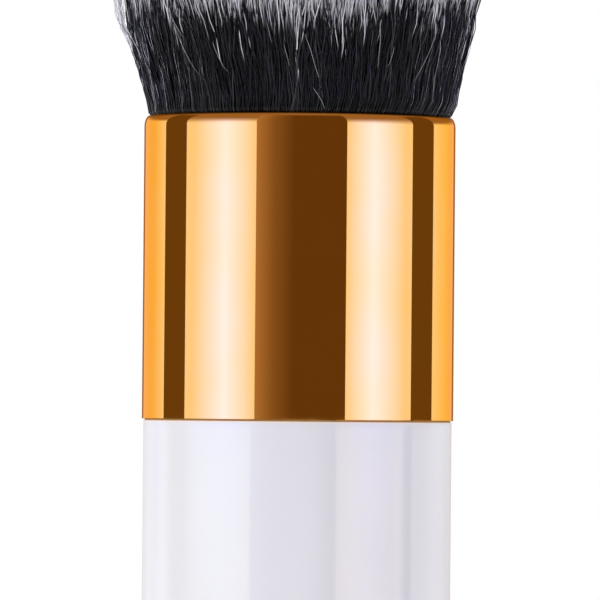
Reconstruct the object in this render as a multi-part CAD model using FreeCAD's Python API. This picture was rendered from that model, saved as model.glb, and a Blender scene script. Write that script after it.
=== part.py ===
# Flat-top face brush with a short, thick handle.
#
# A turned and lacquered handle carries a drawn metal ferrule, almost flush with it.
# Inside the ferrule a bundle of fibres is tied with thread and set in an epoxy plug,
# and the handle's spigot is glued in below the plug. Above the ferrule the fibres
# splay out in locks, and their tips make a broad crown with a rounded edge.
#
# The brush stands on the flat end of its handle. The origin is the middle of that
# face, and +Z runs up the handle to the crown. All sizes are in millimetres.

import FreeCAD, Part

import math
import os

from FreeCAD import Vector

# Ferrule
FERRULE_RADIUS = 12.55      # outside
FERRULE_LENGTH = 24.4
FERRULE_WALL = 0.5
LIP_FLAT = 0.08             # flat left inside the bevelled edge of the mouth

# Handle
HANDLE_LENGTH = 56.0        # from the butt to the ferrule
HANDLE_STEP = 0.12          # how far the ferrule stands proud of the handle
SHOULDER_BEVEL = 0.2        # the handle's edge, where the ferrule begins
BUTT_ROUND = 2.6

# Spigot that the ferrule is glued to
SPIGOT_LENGTH = 9.0
SPIGOT_CLEARANCE = 0.05     # filled by a film of glue
SPIGOT_BEVEL = 0.6

# Roots of the fibres
PLUG_THICKNESS = 3.4        # cast epoxy that the roots end in
THREAD_THICKNESS = 0.8
THREAD_BAND = 2.4           # height of the wound band
ROOT_FLARE = 2.0            # height in which the tied roots fill the bore again
FIBRE_CLEARANCE = 0.04

# Splayed fibres above the ferrule
TUFT_LENGTH = 25.0          # from the mouth to the middle of the crown
TUFT_SPREAD = 5.6           # how much further out the fibres are at the crown
SPLAY_SLOPE = 0.25          # outward travel for each unit of height, at the mouth
SPLAY_REACH = 8.0           # height over which the fibres keep that slope
CROWN_REACH = 10.0          # height over which they straighten up again
CROWN_DROP = 2.7            # how much lower the outermost tips end than the middle ones
CROWN_ROUNDNESS = 4         # higher keeps the crown flat until closer to its edge
SPLAY_BENDS = (6.0, 12.0)   # heights at which the tuft's sides bend

# Locks that the fibres gather into
LOCK_RINGS = 9              # round the middle lock
FIRST_RING_LOCKS = 5
LOCK_PARTING = 6.5          # how far below the crown the locks part from each other
LOCK_RIDGE = 0.45           # how far an outer lock stands out from the furrows beside it
LOCK_WANDER = 0.2           # share of its width by which a lock's edges stray
LOCK_TIP_SHARE = 0.42       # width left at a lock's tip
LOCK_LEAN = 0.5             # share of the room round its tip that a lock may lean into
TIP_UNEVENNESS = 0.6        # tips end up to this much above or below the crown

# Unordered looks are worked out from these, so that every build is the same
SCATTERED = ("way", "radius", "tip", "lean_x", "lean_y")
GOLDEN_SHARE = (math.sqrt(5.0) - 1.0) / 2.0

MOUTH_Z = HANDLE_LENGTH + FERRULE_LENGTH
SPIGOT_TOP_Z = HANDLE_LENGTH + SPIGOT_LENGTH
ROOT_Z = SPIGOT_TOP_Z + PLUG_THICKNESS
THREAD_TOP_Z = ROOT_Z + THREAD_BAND

BORE_RADIUS = FERRULE_RADIUS - FERRULE_WALL
HANDLE_RADIUS = FERRULE_RADIUS - HANDLE_STEP
TIED_RADIUS = BORE_RADIUS - THREAD_THICKNESS
PACKED_RADIUS = BORE_RADIUS - FIBRE_CLEARANCE
TUFT_RADIUS = PACKED_RADIUS - FIBRE_CLEARANCE
LOCK_PITCH = TUFT_RADIUS / (LOCK_RINGS + 0.5)


def polygon(corners):
    """A flat face with these corners."""
    return Part.Face(Part.makePolygon(corners + corners[:1]))


def turned(outline):
    """The solid that an outline of (radius, height) corners sweeps about the axis."""
    section = polygon([Vector(radius, 0, z) for radius, z in outline])
    return section.revolve(Vector(0, 0, 0), Vector(0, 0, 1), 360)


def make_handle():
    """One turned piece: flat butt with a rounded edge, barrel and hidden spigot."""
    spigot_radius = BORE_RADIUS - SPIGOT_CLEARANCE
    solid = turned([
        (0, 0),
        (HANDLE_RADIUS, 0),
        (HANDLE_RADIUS, HANDLE_LENGTH - SHOULDER_BEVEL),
        (HANDLE_RADIUS - SHOULDER_BEVEL, HANDLE_LENGTH),
        (spigot_radius, HANDLE_LENGTH),
        (spigot_radius, SPIGOT_TOP_Z - SPIGOT_BEVEL),
        (spigot_radius - SPIGOT_BEVEL, SPIGOT_TOP_Z),
        (0, SPIGOT_TOP_Z),
    ])
    butt_edges = [edge for edge in solid.Edges if edge.BoundBox.ZMax < 1e-6]
    return solid.makeFillet(BUTT_ROUND, butt_edges)


def make_ferrule():
    """The drawn tube, with the outer edge of its mouth bevelled towards the fibres."""
    bevel = FERRULE_WALL - LIP_FLAT
    return turned([
        (BORE_RADIUS, HANDLE_LENGTH),
        (FERRULE_RADIUS, HANDLE_LENGTH),
        (FERRULE_RADIUS, MOUTH_Z - bevel),
        (FERRULE_RADIUS - bevel, MOUTH_Z),
        (BORE_RADIUS, MOUTH_Z),
    ])


def make_epoxy_plug():
    """Epoxy cast across the bore, from the spigot up to the cut ends of the roots."""
    return turned([
        (0, SPIGOT_TOP_Z),
        (BORE_RADIUS, SPIGOT_TOP_Z),
        (BORE_RADIUS, ROOT_Z),
        (0, ROOT_Z),
    ])


def make_binding_thread():
    """A band of waxed thread, wound round the roots just above the epoxy."""
    return turned([
        (TIED_RADIUS, ROOT_Z),
        (BORE_RADIUS, ROOT_Z),
        (BORE_RADIUS, THREAD_TOP_Z),
        (TIED_RADIUS, THREAD_TOP_Z),
    ])


def make_roots():
    """The fibres inside the ferrule: waisted by the thread, then filling the bore."""
    flare_z = THREAD_TOP_Z + ROOT_FLARE
    return turned([
        (0, ROOT_Z),
        (TIED_RADIUS, ROOT_Z),
        (TIED_RADIUS, THREAD_TOP_Z),
        (PACKED_RADIUS, flare_z),
        (PACKED_RADIUS, MOUTH_Z),
        (0, MOUTH_Z),
    ])


def splay_curve():
    """The line of an outermost fibre from the mouth (height 0) to the crown."""
    curve = Part.BezierCurve()
    curve.setPoles([
        Vector(TUFT_RADIUS, 0, 0),
        Vector(TUFT_RADIUS + SPLAY_SLOPE * SPLAY_REACH, 0, SPLAY_REACH),
        Vector(TUFT_RADIUS + TUFT_SPREAD, 0, TUFT_LENGTH - CROWN_REACH),
        Vector(TUFT_RADIUS + TUFT_SPREAD, 0, TUFT_LENGTH),
    ])
    return curve


SPLAY_CURVE = splay_curve()


def splay(height):
    """How many times further from the axis a fibre is at a height than at the mouth."""
    low = 0.0
    high = 1.0
    for _ in range(40):
        middle = (low + high) / 2
        if SPLAY_CURVE.value(middle).z < height:
            low = middle
        else:
            high = middle
    return SPLAY_CURVE.value(low).x / TUFT_RADIUS


def scatter(what, ring, slot):
    """A value from -1 to 1 for one lock, with no order that the eye can follow."""
    start = math.sqrt(2.0) * SCATTERED.index(what) + math.sqrt(3.0) * ring
    return 2 * ((start + GOLDEN_SHARE * slot) % 1) - 1


def locks_in_ring(ring):
    """Rings further out hold more locks: the number doubles where they grow too wide."""
    if ring == LOCK_RINGS:
        return 2 * locks_in_ring(ring - 1)
    return FIRST_RING_LOCKS * 2 ** round(math.log2(ring))


def at_mouth(radius, ring, slot, middle=0.0):
    """A point at the mouth, where a lock's edge or middle strays from even spacing."""
    width = 2 * math.pi / locks_in_ring(ring)
    stray = LOCK_WANDER * scatter("way", ring, slot + middle)
    way = width * (slot + middle + stray)
    return Vector(radius * math.cos(way), radius * math.sin(way), 0)


def parting_corner(ring, slot):
    """The inner corner, at the mouth, where a lock meets the one before it in its ring."""
    slot = slot % locks_in_ring(ring)
    stray = LOCK_WANDER * scatter("radius", ring, slot) / 2
    return at_mouth(LOCK_PITCH * (ring - 0.5 + stray), ring, slot)


def furrow(slot):
    """The foot, at the mouth, of the furrow before an outer lock."""
    slot = slot % locks_in_ring(LOCK_RINGS)
    return at_mouth(TUFT_RADIUS - LOCK_RIDGE, LOCK_RINGS, slot)


def ridge(slot):
    """The foot, at the mouth, of the ridge along the middle of an outer lock."""
    return at_mouth(TUFT_RADIUS, LOCK_RINGS, slot, middle=0.5)


def lock_cell(ring, slot):
    """The corners at the mouth of the area that one lock's fibres grow from."""
    if ring == 0:
        return [parting_corner(1, i) for i in range(FIRST_RING_LOCKS)]
    cell = [parting_corner(ring, slot + 1), parting_corner(ring, slot)]
    if ring == LOCK_RINGS:
        return cell + [furrow(slot), ridge(slot), furrow(slot + 1)]
    split = locks_in_ring(ring + 1) // locks_in_ring(ring)
    for i in range(slot * split, (slot + 1) * split + 1):
        cell.append(parting_corner(ring + 1, i))
    return cell


def raised(corners, height):
    """Corners at the mouth carried up along the fibres that pass through them."""
    return [corner * splay(height) + Vector(0, 0, MOUTH_Z + height) for corner in corners]


def sides(lower, upper):
    """The flat sides between two alike polygons, one above the other."""
    return [
        polygon([lower[i - 1], lower[i], upper[i], upper[i - 1]])
        for i in range(len(lower))
    ]


def lock_tip(ring, slot):
    """The small end of a lock: its cell drawn together, leaning a little to one side."""
    drop = CROWN_DROP * (ring / LOCK_RINGS) ** CROWN_ROUNDNESS
    height = TUFT_LENGTH - drop + TIP_UNEVENNESS * scatter("tip", ring, slot)
    corners = raised(lock_cell(ring, slot), height)
    centre = sum(corners, Vector()) / len(corners)
    room = LOCK_PITCH * (1 - LOCK_TIP_SHARE) / 2
    lean_x = scatter("lean_x", ring, slot) * room * LOCK_LEAN
    lean_y = scatter("lean_y", ring, slot) * room * LOCK_LEAN
    place = centre + Vector(lean_x, lean_y, 0)
    return [place + (corner - centre) * LOCK_TIP_SHARE for corner in corners]


def make_splayed_fibres():
    """The tuft above the ferrule: furrowed sides, and a crown of separate locks."""
    outer_slots = range(locks_in_ring(LOCK_RINGS))
    rim = [corner for slot in outer_slots for corner in (furrow(slot), ridge(slot))]
    parting_height = TUFT_LENGTH - LOCK_PARTING
    heights = [0.0] + [h for h in SPLAY_BENDS if h < parting_height] + [parting_height]
    faces = [polygon(raised(rim, 0.0))]
    for lower, upper in zip(heights, heights[1:]):
        faces += sides(raised(rim, lower), raised(rim, upper))
    for ring in range(LOCK_RINGS + 1):
        for slot in range(locks_in_ring(ring) if ring else 1):
            tip = lock_tip(ring, slot)
            faces += sides(raised(lock_cell(ring, slot), parting_height), tip)
            faces.append(polygon(tip))
    solid = Part.makeSolid(Part.makeShell(faces))
    return solid if solid.Volume > 0 else solid.reversed()


def make_bristle_tuft():
    """The whole bundle of fibres, from the roots in the ferrule to the crown."""
    return make_roots().fuse(make_splayed_fibres())


PIECES = {
    "handle": make_handle,
    "ferrule": make_ferrule,
    "epoxy_plug": make_epoxy_plug,
    "binding_thread": make_binding_thread,
    "bristle_tuft": make_bristle_tuft,
}


def main():
    os.makedirs("parts", exist_ok=True)
    for name, make in PIECES.items():
        shape = make()
        shape.exportStep(os.path.join("parts", name + ".step"))
        print(name, len(shape.Solids), "solid", round(shape.Volume, 1), "mm3")


main()
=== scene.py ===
# %% [markdown]
# # A flat-top face brush
#
# The brush was built in CAD as five solids: handle, ferrule, epoxy plug, binding
# thread and bristle tuft. This lesson gives them their looks. The turned pieces are
# spun again at a finer pitch, because mirror finishes show every facet, and the tuft
# is grown fibre by fibre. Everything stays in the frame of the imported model, in
# metres, with the brush standing on its butt and +Z up.

import math

import bpy
import numpy as np
from mathutils import Matrix, Vector


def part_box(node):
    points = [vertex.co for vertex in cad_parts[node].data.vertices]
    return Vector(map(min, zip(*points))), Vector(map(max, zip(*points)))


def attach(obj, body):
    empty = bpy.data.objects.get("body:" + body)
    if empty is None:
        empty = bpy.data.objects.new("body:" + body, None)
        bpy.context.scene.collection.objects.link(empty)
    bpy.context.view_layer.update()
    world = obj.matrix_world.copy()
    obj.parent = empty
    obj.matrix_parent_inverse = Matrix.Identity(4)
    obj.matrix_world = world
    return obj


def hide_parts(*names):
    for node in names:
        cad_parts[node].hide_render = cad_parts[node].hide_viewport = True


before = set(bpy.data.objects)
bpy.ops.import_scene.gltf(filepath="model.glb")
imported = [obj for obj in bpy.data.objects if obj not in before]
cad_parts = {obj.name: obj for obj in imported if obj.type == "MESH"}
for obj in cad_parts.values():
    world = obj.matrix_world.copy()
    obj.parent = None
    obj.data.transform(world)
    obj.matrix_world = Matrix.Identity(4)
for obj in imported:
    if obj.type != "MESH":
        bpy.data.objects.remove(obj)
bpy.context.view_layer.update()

MM = 0.001
TURN = 2 * math.pi

ferrule_low, ferrule_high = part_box("ferrule")
handle_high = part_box("handle")[1]
FERRULE_RADIUS = ferrule_high.x
FERRULE_FOOT = ferrule_low.z
MOUTH = ferrule_high.z
HANDLE_RADIUS = handle_high.x
SPIGOT_TOP = handle_high.z
THREAD_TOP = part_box("binding_thread")[1].z
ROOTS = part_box("bristle_tuft")[0].z
print("nodes:", sorted(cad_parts))
print("ferrule radius %.2f mm, mouth at %.1f mm" % (FERRULE_RADIUS / MM, MOUTH / MM))

# %% [markdown]
# ## The camera
#
# The photograph is a close view through a long lens: the sides of the ferrule run
# parallel, and its top rim arches while its bottom rim is nearly straight. So the
# camera stands just above the level of the bottom rim, 0.6 m away, tilts up by a
# degree, and rolls by half a degree as the photograph does. The scale comes from the
# ferrule, whose width in pixels and in millimetres is known.

# %% Place the camera by the photograph
PHOTO_SIZE = 600
FERRULE_SIDES_X = (143.4, 454.6)  # pixels
AXIS_X = 298.5  # pixel column of the axis at mid-height
MIDDLE_ROW_Z = 65.66 * MM  # height of the axis seen in the middle row
CAMERA_DISTANCE = 0.6
CAMERA_Z = FERRULE_FOOT + 0.3 * MM
ROLL = math.radians(0.5)
SENSOR = 36.0  # millimetres

scene = bpy.context.scene
metres_per_pixel = 2 * FERRULE_RADIUS / (FERRULE_SIDES_X[1] - FERRULE_SIDES_X[0])
view_width = PHOTO_SIZE * metres_per_pixel


def placed(name, data):
    """A new object in the scene."""
    thing = bpy.data.objects.new(name, data)
    scene.collection.objects.link(thing)
    return thing


view = bpy.data.cameras.new("photo_camera")
view.sensor_width = SENSOR
view.lens = SENSOR * CAMERA_DISTANCE / view_width
view.clip_start, view.clip_end = 0.01, 20
camera = placed("photo_camera", view)
scene.camera = camera

aim = Vector(((PHOTO_SIZE / 2 - AXIS_X) * metres_per_pixel, 0, MIDDLE_ROW_Z))
camera.location = (0, -CAMERA_DISTANCE, CAMERA_Z)
gaze = (aim - camera.location).to_track_quat("-Z", "Y").to_matrix()
camera.rotation_euler = (gaze @ Matrix.Rotation(ROLL, 3, "Z")).to_euler()
print("%.4f mm a pixel, lens %.0f mm" % (metres_per_pixel / MM, view.lens))

# %% [markdown]
# ## Small helpers for shader nodes
#
# Materials here are made of nodes only. These helpers add a node, feed its sockets
# with numbers or other nodes' outputs, and chain sums and ranges into masks.

# %% Helpers for nodes
def add_node(tree, kind, **settings):
    """A new node, with some of its settings."""
    node = tree.nodes.new(kind)
    for name, value in settings.items():
        setattr(node, name, value)
    return node


def feed(socket, source):
    """Joins an output to a socket, or writes a plain value on it."""
    if isinstance(source, bpy.types.NodeSocket):
        socket.id_data.links.new(source, socket)
    else:
        socket.default_value = source


def feed_all(node, **sources):
    """Feeds sockets by their names, with _ for a space."""
    for name, source in sources.items():
        feed(node.inputs[name.replace("_", " ")], source)
    return node


def feed_in_order(node, *sources):
    """Feeds the first sockets of a node."""
    for socket, source in zip(node.inputs, sources):
        feed(socket, source)
    return node


def maths(tree, operation, first, second=0.0):
    node = add_node(tree, "ShaderNodeMath", operation=operation)
    return feed_in_order(node, first, second).outputs[0]


def parts_of(tree, vector):
    """The sockets X, Y and Z of a vector."""
    return feed_in_order(add_node(tree, "ShaderNodeSeparateXYZ"), vector).outputs


def vector_of(tree, **parts):
    return feed_all(add_node(tree, "ShaderNodeCombineXYZ"), **parts).outputs[0]


def scaled(tree, vector, factor):
    node = add_node(tree, "ShaderNodeVectorMath", operation="SCALE")
    feed(node.inputs[0], vector)
    feed(node.inputs["Scale"], factor)
    return node.outputs[0]


def ranged(tree, value, low, high, to_low=0.0, to_high=1.0):
    """Carries a value smoothly from one range to another, and holds it there."""
    node = add_node(tree, "ShaderNodeMapRange", interpolation_type="SMOOTHSTEP")
    return feed_in_order(node, value, low, high, to_low, to_high).outputs[0]


def noise(tree, vector, scale, detail=2.0):
    node = add_node(tree, "ShaderNodeTexNoise")
    return feed_all(node, Vector=vector, Scale=scale, Detail=detail).outputs["Fac"]


def mixed(tree, factor, first, second):
    """The colour between two colours."""
    node = add_node(tree, "ShaderNodeMix", data_type="RGBA")
    feed(node.inputs[0], factor)
    feed(node.inputs[6], first)
    feed(node.inputs[7], second)
    return node.outputs[2]


def mixed_shader(tree, factor, first, second):
    node = add_node(tree, "ShaderNodeMixShader")
    return feed_in_order(node, factor, first, second).outputs[0]


def bumped(tree, height, distance, strength):
    node = add_node(tree, "ShaderNodeBump")
    feed_all(node, Height=height, Distance=distance, Strength=strength)
    return node.outputs["Normal"]


def new_group(name, inputs, outputs):
    """An empty node group, and the inner ends of its sockets. A place is a vector."""
    tree = bpy.data.node_groups.new(name, "ShaderNodeTree")
    for side, names in (("INPUT", inputs), ("OUTPUT", outputs)):
        for socket in names:
            kind = "NodeSocketVector" if socket == "Place" else "NodeSocketFloat"
            tree.interface.new_socket(socket, in_out=side, socket_type=kind)
    given, result = tree.nodes.new("NodeGroupInput"), tree.nodes.new("NodeGroupOutput")
    return tree, given.outputs, result.inputs


def use_group(tree, group, **values):
    """Places a node group in a material, feeds it, and gives its outputs."""
    return feed_all(add_node(tree, "ShaderNodeGroup", node_tree=group), **values).outputs


def new_material(name, **constants):
    """A material with one Principled BSDF, and plain values on its own sockets."""
    material = bpy.data.materials.new(name)
    material.use_nodes = True
    shader = material.node_tree.nodes["Principled BSDF"]
    return material, material.node_tree, feed_all(shader, **constants)


def object_place(tree):
    return add_node(tree, "ShaderNodeTexCoord").outputs["Object"]


def map_place(tree, name):
    """X and Y on one of the mesh's own maps."""
    return parts_of(tree, add_node(tree, "ShaderNodeUVMap", uv_map=name).outputs[0])


# %% [markdown]
# ## Effects that several finishes share
#
# Dust, turning marks and slow mottling show on more than one piece, and the pale tips
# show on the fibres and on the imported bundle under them. Each is a node group that
# gives only masks and heights; every material decides what to do with them.

# %% Dust, turning marks and mottling
SPECK_EDGE = (0.05, 0.16)  # where a speck fades out in its cell
CLOUD_EDGE = (0.3, 0.7)
ACROSS = 40.0  # marks change slowly across the axis, and along it by their pitch

DUST, given, result = new_group("Dust specks", ["Place", "Scale", "Share"], ["Mask"])
cells = add_node(DUST, "ShaderNodeTexVoronoi", feature="F1")
feed_all(cells, Vector=given["Place"], Scale=given["Scale"])
lottery = add_node(DUST, "ShaderNodeSeparateColor")
feed(lottery.inputs[0], cells.outputs["Color"])
chosen = maths(DUST, "LESS_THAN", lottery.outputs[0], given["Share"])
speck = ranged(DUST, cells.outputs["Distance"], *SPECK_EDGE, 1.0, 0.0)
feed(result["Mask"], maths(DUST, "MULTIPLY", chosen, speck))

MARKS, given, result = new_group("Turning marks", ["Place", "Pitch"], ["Height"])
apart = parts_of(MARKS, given["Place"])
stretched = vector_of(
    MARKS, X=maths(MARKS, "MULTIPLY", apart["X"], ACROSS),
    Y=maths(MARKS, "MULTIPLY", apart["Y"], ACROSS),
    Z=maths(MARKS, "MULTIPLY", apart["Z"], given["Pitch"]))
feed(result["Height"], noise(MARKS, stretched, 1.0, detail=1.0))

MOTTLE, given, result = new_group("Slow mottling", ["Place", "Scale"], ["Value"])
cloud = noise(MOTTLE, given["Place"], given["Scale"], detail=3.0)
feed(result["Value"], ranged(MOTTLE, cloud, *CLOUD_EDGE))
print("node groups:", [group.name for group in bpy.data.node_groups])

# %% [markdown]
# ## The stage
#
# The photograph has a white background and soft light from all round. The world is
# plain white wherever the camera, a reflection or a refraction looks at it, and a
# little dimmer where it lights the brush. A pale floor carries the shadow and fades
# into the white. Seen from below it is clear, and a hole hidden under the butt lets
# light in there. Two lamps behind the brush are linked to the fibres alone and only
# glint on them, which draws the strands on its sides.

# %% World, floor and lamps
WORLD_LIGHT = 0.78
FLOOR_COLOUR = (0.88, 0.88, 0.89, 1)
FLOOR_RADIUS = 0.7
FLOOR_FADE = (0.25, 0.65)  # metres from the brush
FLOOR_HOLE = HANDLE_RADIUS - 2.7 * MM  # under the butt, to light it from below
FLOOR_LEVEL = -0.01 * MM
FLOOR_STEPS = 96
# Name, degrees from the camera, height, width, distance, watts, and if it only glints
SOFT_LAMPS = (
    ("key_left", -70, 0.45, 0.5, 0.9, 2.6, False),
    ("fill_right", 60, 0.40, 0.5, 0.9, 0.25, False),
    ("glint_left", -150, 0.12, 0.23, 0.2, 1.8, True),
    ("glint_right", 150, 0.12, 0.23, 0.2, 1.0, True),
)
GLINT_COLOUR = (0.86, 0.84, 1.0)

scene.view_settings.view_transform = "Standard"

world = bpy.data.worlds.new("white_studio")
scene.world = world
world.use_nodes = True
tree = world.node_tree
rays = add_node(tree, "ShaderNodeLightPath").outputs
seen = maths(tree, "MAXIMUM", rays["Is Camera Ray"], rays["Is Glossy Ray"])
seen = maths(tree, "MAXIMUM", seen, rays["Is Transmission Ray"])
backdrop = tree.nodes["Background"]
backdrop.inputs["Color"].default_value = (1, 1, 1, 1)
feed(backdrop.inputs["Strength"], ranged(tree, seen, 0, 1, WORLD_LIGHT, 1))


def mesh_object(name, vertices, faces, material):
    mesh = bpy.data.meshes.new(name)
    mesh.from_pydata(vertices, [], faces)
    mesh.materials.append(material)
    return placed(name, mesh)


def bearings(count):
    """Bearings all round, in radians."""
    return np.arange(count) * TURN / count


def circle(radius, z, count):
    return [(radius * math.cos(a), radius * math.sin(a), z) for a in bearings(count)]


floor_paint, tree, shader = new_material(
    "pale_floor", Base_Color=FLOOR_COLOUR, Roughness=0.9)
distance = add_node(tree, "ShaderNodeVectorMath", operation="LENGTH")
feed(distance.inputs[0], object_place(tree))
white = add_node(tree, "ShaderNodeEmission").outputs[0]
clear = add_node(tree, "ShaderNodeBsdfTransparent").outputs[0]
far = ranged(tree, distance.outputs["Value"], *FLOOR_FADE)
above = mixed_shader(tree, far, shader.outputs[0], white)
below = add_node(tree, "ShaderNodeNewGeometry").outputs["Backfacing"]
feed(tree.nodes["Material Output"].inputs["Surface"],
     mixed_shader(tree, below, above, clear))

rims = [circle(radius, FLOOR_LEVEL, FLOOR_STEPS) for radius in (FLOOR_HOLE, FLOOR_RADIUS)]
nexts = [(i + 1) % FLOOR_STEPS for i in range(FLOOR_STEPS)]
boards = [(i, FLOOR_STEPS + i, FLOOR_STEPS + j, j) for i, j in enumerate(nexts)]
floor = mesh_object("floor", rims[0] + rims[1], boards, floor_paint)

lit_fibres = bpy.data.collections.new("lit_fibres")


def soft_lamp(name, bearing, height, width, distance, watts, glints):
    """A soft box that lights the brush but isn't mirrored in it. One that glints does
    nothing else, and only on the fibres."""
    lamp = bpy.data.lights.new(name, "AREA")
    lamp.size = width
    lamp.energy = watts
    thing = placed(name, lamp)
    way = math.radians(bearing)
    thing.location = (distance * math.sin(way), -distance * math.cos(way), height)
    facing = Vector((0, 0, MOUTH)) - thing.location
    thing.rotation_euler = facing.to_track_quat("-Z", "Y").to_euler()
    thing.visible_glossy = glints
    thing.visible_diffuse = not glints
    thing.visible_camera = False
    if glints:
        lamp.color = GLINT_COLOUR
        thing.light_linking.receiver_collection = lit_fibres


for lamp in SOFT_LAMPS:
    soft_lamp(*lamp)
print("world light %.2f and lamps:" % WORLD_LIGHT, [lamp[0] for lamp in SOFT_LAMPS])

# %% [markdown]
# ## What the mirror finish sees
#
# A polished tube shows nothing but its surroundings, squeezed into upright bands. The
# photographer stood soft boxes at about 60 degrees left and right of the camera, each
# brightest in its middle, with dark flags beside them and a dark opening in front.
# Those panels stand here on a ring round the brush, and only reflections see them.
# They come in two tiers, which meet where the joint mirrors them to the camera: the
# gold mirrors the upper tier, whose gels run from warm to cool, and the lacquer the
# plain lower one.

# %% Panels round the brush
RING_RADIUS = 0.24
PANEL_STEP = math.radians(2)
JOINT_MIDDLE = FERRULE_FOOT - 0.06 * MM
TIERS_MEET = JOINT_MIDDLE - (CAMERA_Z - JOINT_MIDDLE) * RING_RADIUS / CAMERA_DISTANCE
BOX_FADE = (0.088, 0.19)  # the soft boxes dim between these heights
LEFT_FADE = (0.113, 0.144)  # the rims, mirrored at a glance
RIGHT_FADE = (0.100, 0.131)
FLAG_FADE = (0.22, 0.30)  # the dark flags
FRONT_FADE = (0.265, 0.34)  # and the dark opening, over the camera
PANEL_TOP = 0.32
CEILING = (0.34, 0.25, 0.21)  # the colour of its light
CEILING_TOP = 0.5  # and where it ends over the brush, as a cone
CEILING_RADIUS = 0.05
FRONT = (-31.1, 34.25)  # bearings of the opening, in degrees


def panel_light(name, stops, fade):
    """Light that changes across a panel, by stops of (place from 0 to 1, colour).
    Between the two heights of a fade it turns to the ceiling's, quickly at first."""
    material, tree, shader = new_material(name)
    tree.nodes.remove(shader)
    place = map_place(tree, "panel")
    ramp = add_node(tree, "ShaderNodeValToRGB")
    peak = max(max(colour) for spot, colour in stops)
    while len(ramp.color_ramp.elements) < len(stops):
        ramp.color_ramp.elements.new(0.5)
    for element, (spot, colour) in zip(ramp.color_ramp.elements, stops):
        element.position = spot
        element.color = [part / peak for part in colour] + [1]
    feed(ramp.inputs[0], place["X"])
    light = scaled(tree, ramp.outputs[0], peak)
    if fade:
        kept = add_node(tree, "ShaderNodeMapRange")
        feed_in_order(kept, place["Y"], *fade, 1, 0)
        kept = maths(tree, "POWER", kept.outputs[0], 2.0)
        light = mixed(tree, kept, (*CEILING, 1), light)
    glow = add_node(tree, "ShaderNodeEmission")
    feed(glow.inputs["Color"], light)
    feed(tree.nodes["Material Output"].inputs["Surface"], glow.outputs[0])
    return material


def even(colour):
    """The same light all across a panel."""
    return [(0, colour), (1, colour)]


def ring_panel(name, start, end, low, high, stops, top_radius=RING_RADIUS, fade=None):
    """An upright panel on the ring, from one bearing to another, in degrees."""
    start, end = math.radians(start), math.radians(end)
    count = max(2, math.ceil((end - start) / PANEL_STEP))
    vertices = []
    for i in range(count + 1):
        way = start + (end - start) * i / count
        for radius, z in ((RING_RADIUS, low), (top_radius, high)):
            vertices.append((radius * math.sin(way), -radius * math.cos(way), z))
    faces = [(2 * i, 2 * i + 2, 2 * i + 3, 2 * i + 1) for i in range(count)]
    panel = mesh_object(name, vertices, faces, panel_light(name, stops, fade))
    chart = panel.data.uv_layers.new(name="panel")
    for loop in panel.data.loops:
        step, upper = divmod(loop.vertex_index, 2)
        chart.data[loop.index].uv = (step / count, high if upper else low)
    panel.visible_camera = False
    panel.visible_diffuse = False
    panel.visible_transmission = False
    panel.visible_shadow = False


OPENING = (0.13, 0.08, 0.03)
GEL_FLAG = (0.15, 0.10, 0.035)
GEL_BACK = (0.38, 0.20, 0.03)
GEL_GLANCE = (1.0, 0.93, 0.65)
GEL_RIM = (1.0, 1.0, 1.1)
GEL_EDGE = (1.05, 1.33, 2.5)
GEL_NEAR = (1.15, 1.62, 5.2)
GEL_PEAK = (1.3, 2.0, 9.1)
UPPER_TIER = (
    ("left_back", -180, -160, LEFT_FADE, even(GEL_BACK)),
    ("left_rim", -160, -115.2, LEFT_FADE, [
        (0, GEL_GLANCE), (0.25, GEL_RIM), (0.6, GEL_RIM), (1, GEL_EDGE)]),
    ("left_flag", -115.2, -90.2, FLAG_FADE, even(GEL_FLAG)),
    ("left_box", -90.2, FRONT[0], BOX_FADE, [
        (0, GEL_EDGE), (0.13, GEL_EDGE), (0.33, GEL_NEAR), (0.6, GEL_PEAK),
        (0.86, GEL_NEAR), (1, GEL_EDGE)]),
    ("opening", *FRONT, FRONT_FADE, [
        (0, (0.44, 0.34, 0.34)), (0.2, (0.24, 0.17, 0.12)),
        (0.42, OPENING), (1, OPENING)]),
    ("right_box", FRONT[1], 90.15, BOX_FADE, [
        (0, GEL_EDGE), (0.14, GEL_NEAR), (0.38, GEL_PEAK), (0.68, GEL_NEAR),
        (0.88, GEL_EDGE), (1, GEL_EDGE)]),
    ("right_flag", 90.15, 115.2, FLAG_FADE, even(GEL_FLAG)),
    ("right_rim", 115.2, 159, RIGHT_FADE, [
        (0, GEL_EDGE), (0.45, (1.05, 1.2, 1.7)), (0.8, GEL_RIM), (1, GEL_GLANCE)]),
    ("right_back", 159, 180, RIGHT_FADE, even(GEL_BACK)),
)
for name, start, end, fade, stops in UPPER_TIER:
    ring_panel("panel_upper_" + name, start, end, TIERS_MEET, PANEL_TOP, stops, fade=fade)

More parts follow.
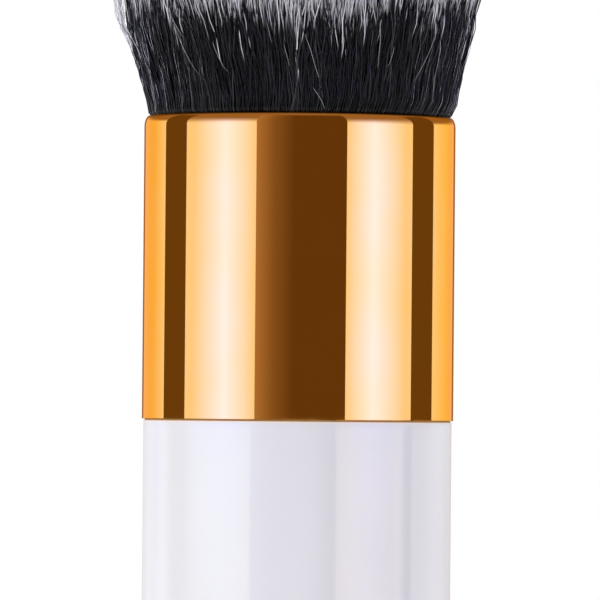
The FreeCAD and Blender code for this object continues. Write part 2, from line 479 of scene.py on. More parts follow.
# The lower tier is nearly plain light: a tint, and levels of it by place
RIM_TINT = (1.0, 1.0, 1.0)
RIGHT_RIM_TINT = (1.02, 0.95, 0.92)
LEFT_TINT = (1.0, 1.0, 0.7)
MIDDLE_TINT = (1.0, 1.0, 1.2)
RIGHT_TINT = (1.2, 1.0, 0.78)
LOWER_TIER = (
    ("left_rim", -180, -113, RIM_TINT, (
        (0, 0.75), (0.4, 0.83), (0.58, 1.02), (0.75, 0.95), (0.88, 1.3), (1, 1.5))),
    ("left_flag", -113, -89, LEFT_TINT, ((0, 1.4), (0.4, 0.8), (1, 0.9))),
    ("left_box", -89, -34.2, LEFT_TINT, ((0, 1.2), (0.2, 1.8), (0.5, 2.3), (1, 2.5))),
    ("opening", -34.2, 28.3, MIDDLE_TINT, (
        (0, 0.9), (0.3, 1.05), (0.56, 1.3), (0.74, 1.3), (0.86, 0.7), (0.93, 0.4),
        (1, 0.3))),
    ("right_box", 28.3, 82.5, RIGHT_TINT, (
        (0, 1.7), (0.2, 2.25), (0.55, 2.05), (0.8, 1.5), (0.92, 1.8), (1, 1.6))),
    ("right_flag", 82.5, 94, RIGHT_TINT, (
        (0, 1.0), (0.4, 0.1), (0.75, 0.04), (1, 0.9))),
    ("right_rim", 94, 180, RIGHT_RIM_TINT, (
        (0, 1.25), (0.3, 1.4), (0.6, 0.85), (1, 0.6))),
)
for name, start, end, tint, levels in LOWER_TIER:
    stops = [(spot, tuple(level * part for part in tint)) for spot, level in levels]
    ring_panel("panel_lower_" + name, start, end, 0, TIERS_MEET, stops)

for name, start, end, colour in (
        ("front", *FRONT, OPENING), ("round", FRONT[1], FRONT[0] + 360, CEILING)):
    ring_panel("panel_ceiling_" + name, start, end, PANEL_TOP, CEILING_TOP, even(colour),
               top_radius=CEILING_RADIUS, fade=FRONT_FADE)
print("panels:", len(UPPER_TIER) + len(LOWER_TIER) + 2)

# %% [markdown]
# ## Turned pieces
#
# Handle and ferrule are bodies of revolution. A polished surface needs smooth normals,
# so the outline is spun in many steps, and beside each rounded edge an extra ring of
# vertices holds the straight part straight. Real edges stay sharp.

# %% Spin an outline about the axis
SPIN_STEPS = 288
SHARP_EDGE = math.radians(35)


def spun(name, outline, material):
    """A closed mesh from an outline of (radius, z); a radius of 0 is on the axis."""
    steps = SPIN_STEPS
    vertices, rings = [], []
    for radius, z in outline:
        if radius == 0:
            rings.append([len(vertices)] * steps)
            vertices.append((0, 0, z))
        else:
            rings.append(list(range(len(vertices), len(vertices) + steps)))
            vertices += circle(radius, z, steps)
    faces = []
    closed = outline[0][0] != 0
    pairs = list(zip(rings, rings[1:])) + ([(rings[-1], rings[0])] if closed else [])
    for low, high in pairs:
        for i in range(steps):
            j = (i + 1) % steps
            faces.append(tuple(dict.fromkeys((low[i], low[j], high[j], high[i]))))
    thing = mesh_object(name, vertices, faces, material)
    thing.data.shade_smooth()
    thing.data.set_sharp_from_angle(angle=SHARP_EDGE)
    print("%s: %d faces" % (name, len(thing.data.polygons)))
    return thing


def rounded(centre, radii, start, end, steps):
    """Outline points on an elliptic arc about a centre, between two angles in degrees."""
    ways = [math.radians(start + (end - start) * i / steps) for i in range(steps + 1)]
    return [(centre[0] + radii[0] * math.cos(way), centre[1] + radii[1] * math.sin(way))
            for way in ways]


# %% [markdown]
# ## The ferrule
#
# A drawn metal tube, plated and polished to a mirror in warm gold. The mouth is rolled
# over towards the fibres, and that is the thin brown line between gold and bristles:
# its upward-facing surface mirrors the dim ceiling, and its very top is painted brown,
# painted shade and a painted reflection of the black fibres over it. The metal keeps
# faint marks round it from polishing and a few specks of dust, and its foot edge is
# painted brown too, a painted shade.

# %% Gold finish
GOLD = (0.965, 0.43, 0.072, 1)
GOLD_WORN = (0.955, 0.44, 0.085, 1)
DUST_GREY = (0.55, 0.5, 0.45, 1)
PAINTED_SHADE_BROWN = (0.20, 0.09, 0.02, 1)
# Painted brown shade on the very edges fades between these heights
FOOT_PAINTED_SHADE = (FERRULE_FOOT + 0.02 * MM, FERRULE_FOOT + 0.05 * MM)
MOUTH_PAINTED_SHADE = (MOUTH - 0.21 * MM, MOUTH - 0.16 * MM)
GOLD_GLOSS = (0.008, 0.014)  # roughness
GOLD_MARKS = 2e-7  # metres

gold, tree, shader = new_material(
    "polished_gold", Metallic=1.0, Specular_Tint=(1.0, 0.68, 0.39, 1))
place = object_place(tree)
dust = use_group(tree, DUST, Place=place, Scale=1540.0, Share=0.006)["Mask"]
marks = use_group(tree, MARKS, Place=place, Pitch=14000.0)["Height"]
clouds = use_group(tree, MOTTLE, Place=place, Scale=160.0)["Value"]
tint = mixed(tree, clouds, GOLD, GOLD_WORN)
dusty = maths(tree, "MULTIPLY", dust, 0.25)
tint = mixed(tree, dusty, tint, DUST_GREY)
height = parts_of(tree, place)["Z"]
# Painted shade at the foot; at the lip top, painted shade and a painted reflection of the
# black fibres
at_foot = ranged(tree, height, *FOOT_PAINTED_SHADE, 0.8, 0)
at_mouth = ranged(tree, height, *MOUTH_PAINTED_SHADE, 0, 0.85)
edges = maths(tree, "ADD", at_foot, at_mouth)
gloss = ranged(tree, clouds, 0, 1, *GOLD_GLOSS)
feed_all(shader, Base_Color=mixed(tree, edges, tint, PAINTED_SHADE_BROWN),
         Roughness=maths(tree, "ADD", gloss, dusty),
         Normal=bumped(tree, marks, GOLD_MARKS, 0.3))

# %% Ferrule
WALL = 0.5 * MM
LIP_WIDTH = 0.40 * MM
LIP_HEIGHT = 0.85 * MM
HOLD = 0.05 * MM  # from a rounded edge to the ring that holds the straight part

bore = FERRULE_RADIUS - WALL
lip = rounded((FERRULE_RADIUS - LIP_WIDTH, MOUTH - LIP_HEIGHT),
              (LIP_WIDTH, LIP_HEIGHT), 0, 90, steps=14)
ferrule = spun("drawn_ferrule", [
    (bore, FERRULE_FOOT),
    (FERRULE_RADIUS, FERRULE_FOOT),
    (FERRULE_RADIUS, MOUTH - LIP_HEIGHT - HOLD),
    *lip,
    (bore, MOUTH),
], gold)
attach(ferrule, "root")
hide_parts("ferrule")

# %% [markdown]
# ## The handle
#
# Turned wood under several coats of white lacquer with a breath of lavender. Lacquer
# is a white body under a clear, glossy skin, so the shader has a coat. The skin isn't
# perfectly flat: a very low orange peel softens what it mirrors, the turning marks
# show through a little, and dust sits on it. Towards the groove under the ferrule the
# clear skin thins out, and the edge is tinted warm, a painted reflection of the gold
# above; the groove itself is painted warm brown and matt, a painted shade under the
# ferrule's foot.

# %% White lacquer
LACQUER = (0.80, 0.789, 0.838, 1)
LACQUER_SHADE = (0.775, 0.767, 0.823, 1)
LACQUER_DUST = (0.6, 0.6, 0.62, 1)
LACQUER_SATIN = (0.3, 0.38)  # roughness under the clear skin
# Painted shade in the groove, and a painted reflection of the gold just under it
GROOVE_SHADE_BROWN = (0.67, 0.375, 0.11, 1)
PAINTED_GOLD_REFLECTION = (0.95, 0.82, 0.74, 1)
RELIEF = 0.12 * MM  # height of the groove turned under the ferrule
GROOVE = FERRULE_FOOT - RELIEF  # its foot, and what changes between heights there
GOLD_REFLECTION_RISES = (GROOVE - 0.24 * MM, GROOVE - 0.06 * MM)
GROOVE_SHADE_RISES = (GROOVE - 0.07 * MM, GROOVE + 0.02 * MM)
SKIN_THINS = (GROOVE - 0.5 * MM, GROOVE - 0.05 * MM)
PEEL_SCALE = 900.0
PEEL_HEIGHT = 2e-6  # metres

lacquer, tree, shader = new_material(
    "white_lacquer", Coat_Roughness=0.045, Coat_IOR=1.5)
place = object_place(tree)
dust = use_group(tree, DUST, Place=place, Scale=1200.0, Share=0.02)["Mask"]
marks = use_group(tree, MARKS, Place=place, Pitch=3000.0)["Height"]
clouds = use_group(tree, MOTTLE, Place=place, Scale=60.0)["Value"]
tint = mixed(tree, clouds, LACQUER, LACQUER_SHADE)
dusty = maths(tree, "MULTIPLY", dust, 0.3)
tint = mixed(tree, dusty, tint, LACQUER_DUST)
height = parts_of(tree, place)["Z"]
# Painted reflection of the gold above: a warm tint just under the groove
glow = ranged(tree, height, *GOLD_REFLECTION_RISES, 0, 0.9)
tint = mixed(tree, glow, tint, PAINTED_GOLD_REFLECTION)
# Painted shade: the groove is darkened to warm brown and made matt
groove_shade = ranged(tree, height, *GROOVE_SHADE_RISES)
satin = ranged(tree, clouds, 0, 1, *LACQUER_SATIN)
peel = noise(tree, place, PEEL_SCALE, detail=1.0)
skin = maths(tree, "ADD", peel, maths(tree, "MULTIPLY", marks, 0.3))
feed_all(shader, Base_Color=mixed(tree, groove_shade, tint, GROOVE_SHADE_BROWN),
         Coat_Weight=ranged(tree, height, *SKIN_THINS, 1.0, 0.1),
         Roughness=maths(tree, "MAXIMUM", satin, groove_shade),
         Normal=bumped(tree, skin, PEEL_HEIGHT, 0.25))

# %% Handle
BUTT_ROUND = 2.6 * MM
RELIEF_DEPTH = 0.1 * MM
SPIGOT_BEVEL = 0.6 * MM
GLUE = 0.05 * MM
SPIGOT_RADIUS = bore - GLUE

butt = rounded((HANDLE_RADIUS - BUTT_ROUND, BUTT_ROUND),
               (BUTT_ROUND, BUTT_ROUND), -90, 0, steps=22)
handle = spun("lacquered_handle", [
    (0, 0),
    (HANDLE_RADIUS - BUTT_ROUND - HOLD, 0),
    *butt,
    (HANDLE_RADIUS, BUTT_ROUND + HOLD),
    (HANDLE_RADIUS, GROOVE),
    (HANDLE_RADIUS - RELIEF_DEPTH, GROOVE),
    (HANDLE_RADIUS - RELIEF_DEPTH, FERRULE_FOOT),
    (SPIGOT_RADIUS, FERRULE_FOOT),
    (SPIGOT_RADIUS, SPIGOT_TOP - SPIGOT_BEVEL),
    (SPIGOT_RADIUS - SPIGOT_BEVEL, SPIGOT_TOP),
    (0, SPIGOT_TOP),
], lacquer)
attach(handle, "root")
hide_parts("handle")

# %% [markdown]
# ## What the ferrule hides
#
# The epoxy plug and the binding thread stay as the CAD built them: cast epoxy is
# amber, glossy and a little cloudy, and the thread's turns show as a fine ripple.

# %% Finishes of the hidden pieces
AMBER = ((0.62, 0.42, 0.16, 1), (0.74, 0.56, 0.27, 1))
WAXED = ((0.60, 0.55, 0.45, 1), (0.72, 0.68, 0.58, 1))
TURN_SCALE = 800.0
TURN_HEIGHT = 1e-4  # metres

epoxy, tree, shader = new_material("cast_epoxy", Roughness=0.2, Coat_Weight=0.5)
place = object_place(tree)
clouds = use_group(tree, MOTTLE, Place=place, Scale=300.0)["Value"]
feed_all(shader, Base_Color=mixed(tree, clouds, *AMBER),
         Roughness=ranged(tree, clouds, 0, 1, 0.12, 0.28))

thread, tree, shader = new_material("waxed_thread", Roughness=0.7)
place = object_place(tree)
clouds = use_group(tree, MOTTLE, Place=place, Scale=700.0)["Value"]
turns = add_node(tree, "ShaderNodeTexWave", bands_direction="Z")
feed_all(turns, Vector=place, Scale=TURN_SCALE)
feed_all(shader, Base_Color=mixed(tree, clouds, *WAXED),
         Normal=bumped(tree, turns.outputs["Fac"], TURN_HEIGHT, 0.8))

for node, finish in (("epoxy_plug", epoxy), ("binding_thread", thread)):
    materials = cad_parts[node].data.materials
    materials.clear()
    materials.append(finish)

# %% [markdown]
# ## The look of the fibres
#
# Each fibre is dyed black and left undyed towards its tip. The dye stops at a
# different height in every fibre, and fibres of one lock stop near each other, which
# makes pale streaks that narrow downwards. On the mesh, the map "OFBake" carries it:
# across the map fibres go from late to early paling, and up the map goes height. Just
# over the lip the black is painted a little greyer: painted light that lifts the shade
# where the fibres swell over the lip.

# %% Chart of the dye
CHART_LOW = -2.5  # millimetres from the mouth, where the chart begins
CHART_HIGH = 27.5
LATEST_PALE = 13.0  # where the latest fibres turn pale, above the mouth
EARLIEST_PALE = -1.0
CHART_COLUMNS = 512
TURN_SOFTNESS = (-0.03, 0.015)  # on the chart, from the last black to full pale


def chart_height(height):
    """Place on the chart, from 0 to 1, of a height above the mouth in millimetres."""
    return (height - CHART_LOW) / (CHART_HIGH - CHART_LOW)


DYE, given, result = new_group(
    "Dyed fibre", ["Column", "Height"], ["Pale", "Shade", "Streak"])
column = maths(DYE, "MULTIPLY", given["Column"], CHART_COLUMNS)
number = maths(DYE, "FLOOR", column)
own = add_node(DYE, "ShaderNodeTexWhiteNoise", noise_dimensions="1D")
feed(own.inputs["W"], number)
dyed_length = chart_height(LATEST_PALE) - chart_height(EARLIEST_PALE)
earlier = maths(DYE, "MULTIPLY", given["Column"], dyed_length)
turning = maths(DYE, "SUBTRACT", chart_height(LATEST_PALE), earlier)
after = maths(DYE, "SUBTRACT", given["Height"], turning)
feed(result["Pale"], ranged(DYE, after, *TURN_SOFTNESS))
feed(result["Shade"], own.outputs["Value"])
chart = vector_of(DYE, X=maths(DYE, "MULTIPLY", number, 3.7),
                  Y=maths(DYE, "MULTIPLY", given["Height"], 14.0))
feed(result["Streak"], noise(DYE, chart, 1.0))


BLACKS = ((0.002, 0.002, 0.0021, 1), (0.07, 0.0685, 0.0735, 1))
PALES = ((0.82, 0.80, 0.88, 1), (0.96, 0.95, 0.99, 1))
# Painted light: the black is greyed just over the lip, where the fibres' swell shades it
PAINTED_LIGHT_GREY = (0.16, 0.15, 0.16, 1)
PAINTED_LIGHT_FADE = (0.1, 0.42)  # millimetres over the mouth
STREAKS = (0.82, 1.04)  # how dark and light they get
ROUGHNESS = (0.34, 0.5)


def fibre_material(name, gloss, light=1.0):
    """Black to pale by the chart that the mesh carries as its map."""
    material, tree, shader = new_material(name, Specular_IOR_Level=gloss)
    place = map_place(tree, "OFBake")
    dye = use_group(tree, DYE, Column=place["X"], Height=place["Y"])
    greyer = maths(tree, "POWER", dye["Shade"], 5.0)
    # Painted light over the lip, against the shade there
    painted_light = ranged(tree, place["Y"], *map(chart_height, PAINTED_LIGHT_FADE), 0.27, 0)
    black = mixed(tree, painted_light, mixed(tree, greyer, *BLACKS), PAINTED_LIGHT_GREY)
    dyed = mixed(tree, dye["Pale"], black, mixed(tree, dye["Shade"], *PALES))
    levels = [level * light for level in STREAKS]
    streak = ranged(tree, dye["Streak"], 0.3, 0.7, *levels)
    feed_all(shader, Base_Color=scaled(tree, dyed, streak),
             Roughness=ranged(tree, dye["Streak"], 0.2, 0.8, *ROUGHNESS))
    return material


fibre = fibre_material("dyed_fibre", 0.3)
bundle = fibre_material("packed_fibre", 0.2)
half_dyed = fibre_material("half_dyed_fibre", 0.3, light=0.5)

# %% [markdown]
# ## How the fibres stand
#
# Outside the ferrule the bundle splays like a trumpet: the outermost fibre follows one
# smooth curve, and every other fibre follows the same curve scaled to its own place
# in the mouth. On top of that, locks draw their fibres together a little, and lean and
# wave in their own ways, and each fibre strays a little more.

# %% The splay and the crown
TUFT_RADIUS = 11.97  # millimetres, at the mouth
TUFT_LENGTH = 25.0
SPLAY_LINE = ((0.0, 0.0), (2.0, 8.0), (5.6, 15.0), (5.6, 25.0))  # (outward, up)
CROWN_DROP = 2.7
CROWN_ROUNDNESS = 4

steps = np.linspace(0, 1, 401)
weights = np.stack([(1 - steps) ** 3, 3 * (1 - steps) ** 2 * steps,
                    3 * (1 - steps) * steps ** 2, steps ** 3])
splay_out, splay_up = weights.T.dot(np.array(SPLAY_LINE)).T


def splay(height):
    """How many times further from the axis a fibre is at a height than at the mouth."""
    return 1 + np.interp(height, splay_up, splay_out) / TUFT_RADIUS


def smooth(low, high, value):
    share = np.clip((value - low) / (high - low), 0, 1)
    return share * share * (3 - 2 * share)


def crown(radius):
    """Height of the crown over a place in the mouth."""
    return TUFT_LENGTH - CROWN_DROP * (radius / TUFT_RADIUS) ** CROWN_ROUNDNESS


print("the crown is %.1f mm across" % (2 * TUFT_RADIUS * splay(TUFT_LENGTH)))

# %% Locks
LOCKS = 1400
LOCK_SCATTER = 0.12  # millimetres
GOLDEN_ANGLE = math.pi * (3 - math.sqrt(5))
chance = np.random.default_rng(11)


def on_disc(way, radius):
    """Places in the plane, from bearings and distances from the axis."""
    return np.stack([radius * np.cos(way), radius * np.sin(way)], 1)


number = np.arange(LOCKS)
lock_radius = TUFT_RADIUS * np.sqrt((number + 0.5) / LOCKS)
lock_place = on_disc(number * GOLDEN_ANGLE, lock_radius)
lock_place += chance.normal(0, LOCK_SCATTER, lock_place.shape)
lock_pull = chance.uniform(0.1, 0.5, LOCKS)  # share of the way to its middle
lock_lean = chance.normal(0, 0.02, (LOCKS, 2))
lock_phase = chance.uniform(0, TURN, (LOCKS, 2))
lock_wave = chance.uniform(9, 17, LOCKS)
lock_tip = chance.normal(0, 0.25, LOCKS)
lock_paling = chance.normal(0, 0.5, LOCKS)  # millimetres


def nearest_lock(places, batch=2000):
    found = np.empty(len(places), int)
    for start in range(0, len(places), batch):
        some = places[start:start + batch, None] - lock_place[None]
        found[start:start + batch] = (some ** 2).sum(2).argmin(1)
    return found


print("%d locks, about %.2f mm apart at the mouth" % (
    LOCKS, TUFT_RADIUS * math.sqrt(math.pi / LOCKS)))

# %% Fibre paths
# How much fuller the outermost fibres stand than the curve, in mm, by height: they
# swell over the lip, and higher up their neighbours hold them together.
FULLNESS = ((-0.05, 0.0), (0.25, 0.2), (0.6, 0.31), (1.5, 0.2), (3.5, 0.04),
            (5.5, -0.03), (7.2, -0.16), (9.2, -0.5), (14.0, -0.5), (25.0, 0.0))
# On the left they are tucked in, in mm by height, where the stray ones stand out.
LEFT_TUCK = ((0.6, 0.0), (1.5, -0.05), (4.8, -0.05), (6.3, 0.1), (7.2, 0.16),
             (8.2, 0.34), (9.1, 0.6), (12.0, 0.8), (19.0, 0.2), (25.0, 0.0))
TUFT_SHIFT = 0.2  # millimetres to the right, just above the mouth
TUFT_LEAN = 0.04  # and from there the whole tuft leans a little to the left
LOCK_SWAY = 0.022  # how far a lock waves, as a share of the height
OWN_LEAN = 0.085  # and how far each fibre leans by itself
OWN_SWAY = 0.095  # how far it waves by itself, in millimetres
OWN_WAVE = (2.6, 6.0)  # and the length of these waves
HELD = 0.2  # the share left of any move outwards
FLARE_RISES = (4, 9.5)  # where stray fibres begin to stand out, and fully do


def by_height(table, heights):
    return np.interp(heights, *zip(*table))


def sideways(heights):
    """How far the whole tuft stands to the right of the axis at these heights."""
    return TUFT_SHIFT * smooth(0, 1.2, heights) - TUFT_LEAN * heights


def eased(moves, outward):
    """Moves with only a share of their outward part left: neighbours hold fibres in."""
    out = (moves * outward).sum(-1, keepdims=True) * outward
    return moves - (1 - HELD) * out


def fibre_paths(places, heights, flare=0.0):
    """Points along fibres that pass the mouth at these places, at these heights.
    places is (fibre, 2), heights is (fibre, ring), both in millimetres."""
    lock = nearest_lock(places)
    count = len(places)
    up = heights[:, :, None]
    rise = np.maximum(up, 0)
    gather = lock_pull[lock][:, None, None] * smooth(3, TUFT_LENGTH, up)
    middle = lock_place[lock][:, None]
    at = middle + (places[:, None] - middle) * (1 - gather)
    at = at * splay(rise)
    outward = (places / np.linalg.norm(places, axis=1, keepdims=True))[:, None]
    depth = np.linalg.norm(places, axis=1)[:, None, None] / TUFT_RADIUS
    fuller = by_height(FULLNESS, up) * depth ** 4
    tucked = by_height(LEFT_TUCK, up) * depth ** 4
    fuller = fuller - tucked * np.maximum(-outward[:, :, :1], 0) ** 6
    at += outward * (fuller + flare * smooth(*FLARE_RISES, up))
    swing = TURN * up / lock_wave[lock][:, None, None]
    moves = lock_lean[lock][:, None] + chance.normal(0, OWN_LEAN, (count, 1, 2))
    moves = moves + LOCK_SWAY * np.sin(swing + lock_phase[lock][:, None])
    at += eased(moves * rise, outward)
    at[:, :, :1] += sideways(rise)
    own_phase = chance.uniform(0, TURN, (count, 1, 2))
    own_wave = chance.uniform(*OWN_WAVE, (count, 1, 1))
    swing = TURN * up / own_wave
    at += OWN_SWAY * np.minimum(rise / 4, 1) * np.sin(swing + own_phase)
    return np.concatenate([at, up], 2), lock


# Where fibres turn pale, in millimetres over the mouth: at the back, never below, and
# in front, as (bearing in degrees from the camera, height)
PALE_BACK = 9.5
LOWEST_PALE = 3.2
PALE_FRONT = ((-90, 10.4), (-67, 9.9), (-49, 9.0), (-35, 8.9), (-23, 8.75), (-9, 8.5),
              (4, 7.8), (18, 7.7), (26, 8.6), (33, 9.9), (40, 9.4), (48, 8.6),
              (56, 9.4), (64, 10.2), (90, 9.7))
PALE_SCATTER = 0.9
EARLY_SHARE = 0.035  # of the fibres turn pale lower down, by this much
EARLY_BY = (0.5, 4)


def column_for(turning):
    """The chart column of a fibre that turns pale at this height, in millimetres."""
    column = (LATEST_PALE - turning) / (LATEST_PALE - EARLIEST_PALE)
    return np.clip(column, 0.005, 0.99)


def columns_of(places, lock):
    """Chart columns, by the side a fibre is on, its lock and its own chance."""
    bearing = np.degrees(np.arctan2(places[:, 0], -places[:, 1]))
    turning = np.interp(bearing, *zip(*PALE_FRONT), left=PALE_BACK, right=PALE_BACK)
    turning += lock_paling[lock] + chance.normal(0, PALE_SCATTER, len(places))
    early = chance.uniform(0, 1, len(places)) < EARLY_SHARE
    turning -= early * chance.uniform(*EARLY_BY, len(places))
    return column_for(np.maximum(turning, LOWEST_PALE))


# %% Tubes round the paths
def fibre_mesh(name, paths, thickness, columns, finish=fibre):
    """One mesh of closed three-sided tubes that end in a point.
    paths is (fibre, ring, 3) and thickness (ring,) in millimetres."""
    count, rings, _ = paths.shape
    along = paths[:, -1] - paths[:, 0]
    along /= np.linalg.norm(along, axis=1, keepdims=True)
    turn = chance.uniform(0, TURN, count)
    aside = np.stack([np.cos(turn), np.sin(turn), np.zeros(count)], 1)
    across = np.cross(along, aside)
    across /= np.linalg.norm(across, axis=1, keepdims=True)
    aside = np.cross(across, along)
    corners = []
    for k in range(3):
        way = TURN * k / 3
        spoke = math.cos(way) * aside + math.sin(way) * across
        corners.append(paths[:, :-1] + spoke[:, None] * thickness[None, :-1, None])
    body = np.stack(corners, 2).reshape(count, -1, 3)
    points = np.concatenate([body, paths[:, -1:]], 1)
    per_fibre = points.shape[1]
    vertices = points.reshape(-1, 3) * MM
    vertices[:, 2] += MOUTH

    quads, quad_chart = [], []
    for ring in range(rings - 2):
        for k in range(3):
            low, high = ring * 3, ring * 3 + 3
            quads.append((low + k, low + (k + 1) % 3, high + (k + 1) % 3, high + k))
            quad_chart.append(
                ((k, ring), (k + 1, ring), (k + 1, ring + 1), (k, ring + 1)))
    last = (rings - 2) * 3
    triangles = [(last + k, last + (k + 1) % 3, last + 3) for k in range(3)]
    triangle_chart = [((k, rings - 2), (k + 1, rings - 2), (k + 0.5, rings - 1))
                      for k in range(3)]
    triangles.append((0, 2, 1))
    triangle_chart.append(((0, 0), (2, 0.2), (1, 0.2)))

    offsets = np.arange(count)[:, None, None] * per_fibre
    loops = np.concatenate([(offsets + np.array(shapes)).reshape(count, -1)
                            for shapes in (quads, triangles)], 1)
    sizes = np.tile([4] * len(quads) + [3] * len(triangles), count)
    starts = np.concatenate([[0], np.cumsum(sizes)[:-1]])

    mesh = bpy.data.meshes.new(name)
    mesh.vertices.add(len(vertices))
    mesh.vertices.foreach_set("co", vertices.ravel())
    mesh.loops.add(loops.size)
    mesh.loops.foreach_set("vertex_index", loops.ravel().astype(np.int32))
    mesh.polygons.add(len(sizes))
    mesh.polygons.foreach_set("loop_start", starts.astype(np.int32))
    mesh.update(calc_edges=True)
    mesh.validate()

    faces = quad_chart + triangle_chart
    spots = np.array([spot for face in faces for spot in face], float)
    heights = chart_height(paths[:, :, 2])
    ring = spots[:, 1]
    low = np.floor(ring).astype(int)
    high = np.minimum(low + 1, rings - 1)
    up = heights[:, low] * (1 - (ring - low)) + heights[:, high] * (ring - low)
    first = np.floor(columns * CHART_COLUMNS)[:, None] + 0.2
    column = (first + 0.2 * spots[None, :, 0]) / CHART_COLUMNS
    chart = mesh.uv_layers.new(name="OFBake")
    chart.data.foreach_set("uv", np.stack([column, up], 2).ravel().astype(np.float32))
    mesh.shade_smooth()
    mesh.materials.append(finish)
    thing = placed(name, mesh)
    lit_fibres.objects.link(thing)
    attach(thing, "root")
    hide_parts("bristle_tuft")
    print("%s: %d fibres, %d triangles" % (name, count, (sizes - 2).sum()))


# %% [markdown]
# ## Outer fibres
#
# The outermost layer is what one sees from the side, so its fibres are whole, from
# inside the ferrule's mouth to the crown, with most of their bends low down, where the
# photograph looks closely.

# %% Grow the outer fibres
OUTER_FIBRES = 8000
OUTER_DEPTH = 1.3  # millimetres, at the mouth
OUTER_MESHES = 4
OUTER_RINGS = np.array([-0.9, -0.05, 0.25, 1.1, 2.1, 3.1, 4.1, 5.1, 6.1, 7.1, 8.2, 9.6,
                        12.0, 15.5, 19.5])
OUTER_THICKNESS = 0.046
TIP_SCATTER = 0.45


def tips_over(places, radius):
    """Heights at which fibres end: the crown's, their lock's share and their own."""
    own = chance.normal(0, TIP_SCATTER, len(places))
    return crown(radius) + lock_tip[nearest_lock(places)] + own


def rings_to(tips):
    """Heights of the rings of outer fibres, up to their tips."""
    return np.column_stack([np.tile(OUTER_RINGS, (len(tips), 1)), tips])


def grow(name, places, heights, thickness, meshes):
    """Grows fibres and deals them out to several meshes."""
    paths, lock = fibre_paths(places, heights)
    columns = columns_of(places, lock)
    for part in range(meshes):
        some = np.arange(part, len(places), meshes)
        fibre_mesh("%s_%d" % (name, part + 1), paths[some], thickness, columns[some])


way = chance.uniform(0, TURN, OUTER_FIBRES)
radius = TUFT_RADIUS - OUTER_DEPTH * chance.uniform(0, 1, OUTER_FIBRES)
places = on_disc(way, radius)
heights = rings_to(tips_over(places, radius))
slimming = np.interp(OUTER_RINGS, (0, 8, 20), (1, 1, 0.65))
outer_thickness = OUTER_THICKNESS * np.append(slimming, 0)
grow("outer_fibres", places, heights, outer_thickness, OUTER_MESHES)

# %% [markdown]
# ## Crown fibres
#
# Further in, only the last few millimetres of a fibre can be seen, between the tips.
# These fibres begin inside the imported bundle, so a few segments each are enough, and
# each stands for two or three real ones that cling together.

# %% Grow the crown fibres
CROWN_FIBRES = 21000
CROWN_EDGE = 0.3  # millimetres inside the outermost fibres, at the mouth
CROWN_REACH = 7.0  # how far down they begin, and where they bend
CROWN_BEND = 2.8
CROWN_MESHES = 2
CROWN_THICKNESS = 0.075

way = chance.uniform(0, TURN, CROWN_FIBRES)
radius = (TUFT_RADIUS - CROWN_EDGE) * np.sqrt(chance.uniform(0, 1, CROWN_FIBRES))
places = on_disc(way, radius)
tips = tips_over(places, radius)
heights = np.stack([tips - CROWN_REACH, tips - CROWN_BEND, tips], 1)
thickness = CROWN_THICKNESS * np.array([1, 0.9, 0])
grow("crown_fibres", places, heights, thickness, CROWN_MESHES)

# %% [markdown]
# ## Stray fibres
#
# No brush is tidy. On the left a few pale fibres stand out of the tuft and catch the
# light as white wisps, and all round, single pale fibres lie slantwise over the black.
# The ones in front lie where the photograph shows them.

# %% Wisps
WISPS = 30
WISP_SIDE = math.radians(182)
WISP_SPREAD = 0.16  # radians
WISP_FLARE = 1.25  # millimetres, how far they stand out
WISP_PALE = (5.2, 0.4)  # where they turn pale, and the scatter, in millimetres

way = WISP_SIDE + chance.normal(0, WISP_SPREAD, WISPS)
radius = TUFT_RADIUS - 0.1 * chance.uniform(0, 1, WISPS)
places = on_disc(way, radius)
heights = rings_to(crown(radius) - chance.uniform(0, 3, WISPS))
flare = WISP_FLARE * chance.uniform(0.35, 1, (WISPS, 1, 1))
paths, lock = fibre_paths(places, heights, flare=flare)
columns = column_for(chance.normal(*WISP_PALE, WISPS))
fibre_mesh("wisps", paths, 0.65 * outer_thickness, columns)

# %% Slanting fibres
# Pixels (x, y) of the upper and lower end of each in the photograph
SLANTING_SEEN = (
    ((176, 31), (194, 71)), ((175, 14), (185, 25)), ((213, 48), (224, 71)),
    ((265, 25), (270, 44)), ((304, 44), (315, 78)), ((311, 92), (321, 109)),
    ((376, 30), (374, 66)), ((390, 50), (384, 66)), ((433, 31), (411, 78)),
    ((170, 10), (182, 38)), ((283, 50), (286, 68)))
MOUTH_ROW = 113.5  # pixel row of the mouth on the axis
SLANTING_ELSEWHERE = 36
SLANTING_SIDES = (95, 265)  # bearings away from the camera, in degrees
# Rings from the lower end (0) to the upper (1) and past both, where a fibre dips in
SLANT_RINGS = np.array([-0.3, 0, 0.17, 0.34, 0.5, 0.66, 0.83, 1, 1.3])
SLANT_DEPTH = np.array([-0.5, 0.0, 0.05, 0.07, 0.08, 0.07, 0.05, 0.0, -0.5])
SLANT_SLIMNESS = np.array([0.6, 0.8, 1, 1, 1, 1, 1, 0.8, 0])
SLANT_THICKNESS = 0.02
SLANT_LIFT = 0.12  # millimetres over the outer fibres
SLANT_SWAY = 0.004  # radians
SLANT_PALE = (-0.95, -0.6)


def outside(heights):
    """Radius of the tuft at heights above the mouth, in millimetres."""
    return TUFT_RADIUS * splay(heights) + by_height(FULLNESS, heights)


def on_tuft(x, y):
    """Bearing and height of a place on the front of the tuft, seen at a pixel."""
    height = (MOUTH_ROW - y) * metres_per_pixel / MM
    aside = (x - AXIS_X) * metres_per_pixel / MM / outside(height)
    return -math.pi / 2 + math.asin(max(-0.99, min(0.99, aside))), height


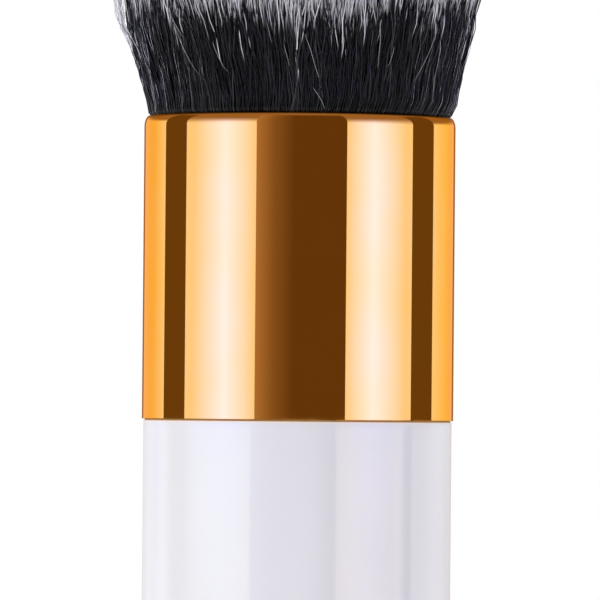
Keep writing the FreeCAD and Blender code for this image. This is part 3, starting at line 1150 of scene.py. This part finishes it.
ends = [(on_tuft(*upper), on_tuft(*lower)) for upper, lower in SLANTING_SEEN]
for i in range(SLANTING_ELSEWHERE):
    low_way = -math.pi / 2 + math.radians(chance.uniform(*SLANTING_SIDES))
    low, long = chance.uniform(1, 5), chance.uniform(1.5, 5)
    ends.append(((low_way + chance.normal(0, 0.06), low + long), (low_way, low)))
ends = np.array(ends)
upper, lower = ends[:, 0, :, None], ends[:, 1, :, None]
bearing, heights = (lower + (upper - lower) * SLANT_RINGS).swapaxes(0, 1)
bearing += SLANT_SWAY * np.sin(1.6 * heights + chance.uniform(0, 6, (len(ends), 1)))
radius = outside(heights) + SLANT_LIFT + SLANT_DEPTH
across = radius * np.cos(bearing) + sideways(heights)
paths = np.stack([across, radius * np.sin(bearing), heights], 2)
columns = column_for(chance.uniform(*SLANT_PALE, len(ends)))
fibre_mesh("slanting_fibres", paths, SLANT_THICKNESS * SLANT_SLIMNESS, columns, half_dyed)

# %% [markdown]
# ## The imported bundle
#
# Inside, the fibres are packed so tightly that they read as one body: waisted by the
# thread, filling the bore, then splaying just under the outer fibres. One mesh with
# fluted sides holds that place.

# %% Packed bundle
UNDER_SURFACE = 1.1  # millimetres below the outer fibres, at the mouth
UNDER_CROWN = 2.8
BUNDLE_STEPS = 360
FLUTE_DEPTH = 0.05
BUNDLE_SIDES = (0.0, 2.0, 4.0, 6.5, 9.0, 12.0, 15.0, 17.5)  # heights of its rings
BUNDLE_TOP = (0.97, 0.9, 0.75, 0.5, 0.25)  # shares of the radius, over the top
TIED_RADIUS = 11.25


def bundle_outline():
    """Rings of (radius, height above the mouth), from the roots to under the crown."""
    tied_top = (THREAD_TOP - MOUTH) / MM
    filled = TUFT_RADIUS + 0.02
    inner = TUFT_RADIUS - UNDER_SURFACE
    rings = [(TIED_RADIUS, (ROOTS - MOUTH) / MM), (TIED_RADIUS, tied_top),
             (filled, tied_top + 2.0), (filled, -2.2), (filled - 0.25, -1.4),
             (inner, -0.6)]
    rings += [(inner * splay(height), height) for height in BUNDLE_SIDES]
    for share in BUNDLE_TOP:
        radius = inner * share
        height = crown(radius) - UNDER_CROWN
        rings.append((radius * splay(height), height))
    return rings


rings = bundle_outline()
flute = 1 - FLUTE_DEPTH * (np.arange(BUNDLE_STEPS) % 2) / TUFT_RADIUS
vertices = [(0, 0, rings[0][1] * MM + MOUTH)]
for ring_radius, height in rings:
    for way, share in zip(bearings(BUNDLE_STEPS), flute):
        radius = ring_radius * share
        vertices.append((radius * math.cos(way) * MM, radius * math.sin(way) * MM,
                         height * MM + MOUTH))
vertices.append((0, 0, (TUFT_LENGTH - UNDER_CROWN) * MM + MOUTH))
faces, spots = [], []
columns = column_for(PALE_BACK + chance.normal(0, 1.0, BUNDLE_STEPS))
columns = (np.floor(columns * CHART_COLUMNS) + 0.5) / CHART_COLUMNS
half = 0.3 / CHART_COLUMNS
for i in range(BUNDLE_STEPS):
    j = (i + 1) % BUNDLE_STEPS
    left, right = columns[i] - half, columns[i] + half
    faces.append((0, 1 + j, 1 + i))
    spots += [((left + right) / 2, 0.02), (right, 0.0), (left, 0.0)]
    for level in range(len(rings) - 1):
        if level == len(rings) - len(BUNDLE_TOP):
            left, right = columns[0] - half, columns[0] + half  # one dye on top
        low, high = 1 + level * BUNDLE_STEPS, 1 + (level + 1) * BUNDLE_STEPS
        faces.append((low + i, low + j, high + j, high + i))
        bottom, top = chart_height(rings[level][1]), chart_height(rings[level + 1][1])
        spots += [(left, bottom), (right, bottom), (right, top), (left, top)]
    low = 1 + (len(rings) - 1) * BUNDLE_STEPS
    faces.append((low + i, low + j, len(vertices) - 1))
    top = chart_height(rings[-1][1])
    spots += [(left, top), (right, top), ((left + right) / 2, top + 0.01)]
packed = mesh_object("packed_bundle", vertices, faces, bundle)
packed.data.shade_smooth()
chart = packed.data.uv_layers.new(name="OFBake")
chart.data.foreach_set("uv", np.array(spots, np.float32).ravel())
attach(packed, "root")
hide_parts("bristle_tuft")
print("packed_bundle: %d faces" % len(faces))
